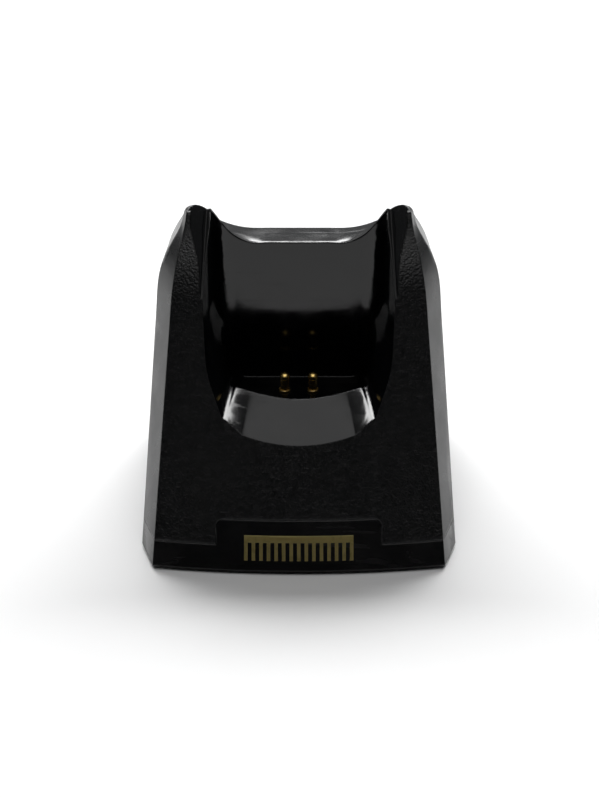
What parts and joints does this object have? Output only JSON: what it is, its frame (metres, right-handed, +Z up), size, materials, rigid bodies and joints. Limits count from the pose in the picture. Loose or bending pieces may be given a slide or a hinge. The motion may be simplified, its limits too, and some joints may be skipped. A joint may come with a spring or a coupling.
{
  "type": "hair clipper charging stand",
  "caption": "Black desk charging stand for a cordless hair clipper: leaning front with an open U-shaped well, raised horns, and two sprung gold contacts behind a ramp.",
  "frame": {"origin": "bottom centre of the bounding box, on the table under the rubber feet", "axes": "+Z up, +X to the right as one faces the front, +Y towards the back; the stand is mirror symmetric about X = 0 apart from the diode and the wire colours inside"},
  "size_m": [0.0844, 0.083, 0.08],
  "materials": {
    "housing_black": "gloss inside the well and on the rim, satin on the side bands, fine leather-like mould grain on the front",
    "tray_black": "smooth semi-gloss",
    "badge_gold": "dull gold foil",
    "screw_steel": "zinc-plated steel",
    "ballast_steel": "bare rolled steel",
    "board_green": "solder-resist coated board",
    "socket_black": "moulded matte plastic",
    "contact_nickel": "nickel plated",
    "diode_black": "moulded epoxy with a plain band",
    "carrier_white": "natural moulded nylon",
    "lead_red": "wire insulation",
    "lead_black": "wire insulation",
    "label_silver": "blank silver polyester label",
    "foot_rubber": "matte moulded rubber",
    "contact_gold": "polished gold plating",
    "spring_steel": "bright spring wire",
    "terminal_brass": "tinned brass"
  },
  "bodies": {
    "stand": {"upper_housing": "housing_black", "base_tray": "tray_black", "comb_badge": "badge_gold", "housing_screws": "screw_steel", "ballast_plate": "ballast_steel", "ballast_screws": "screw_steel", "circuit_board": "board_green", "board_screws": "screw_steel", "power_socket": "socket_black", "power_socket_pin": "contact_nickel", "power_socket_spring": "contact_nickel", "protection_diode": "diode_black", "contact_carrier": "carrier_white", "carrier_screws": "screw_steel", "lead_positive": "lead_red", "lead_negative": "lead_black", "rating_label": "label_silver", "rubber_foot_front_left": "foot_rubber", "rubber_foot_front_right": "foot_rubber", "rubber_foot_rear_left": "foot_rubber", "rubber_foot_rear_right": "foot_rubber", "contact_spring_left": "spring_steel", "contact_spring_right": "spring_steel", "contact_terminal_left": "terminal_brass", "contact_terminal_right": "terminal_brass"},
    "left_contact": {"contact_pin_left": "contact_gold", "contact_clip_left": "spring_steel"},
    "right_contact": {"contact_pin_right": "contact_gold", "contact_clip_right": "spring_steel"}
  },
  "joints": [
    {"name": "left_contact_press", "type": "slide", "parent": "stand", "child": "left_contact", "axis": [0, 0, -1], "range_m": [0, 0.001], "stiffness_N_per_m": 500, "springref_m": -0.001, "deforming": ["contact_spring_left"]},
    {"name": "right_contact_press", "type": "slide", "parent": "stand", "child": "right_contact", "axis": [0, 0, -1], "range_m": [0, 0.001], "stiffness_N_per_m": 500, "springref_m": -0.001, "deforming": ["contact_spring_right"]}
  ]
}
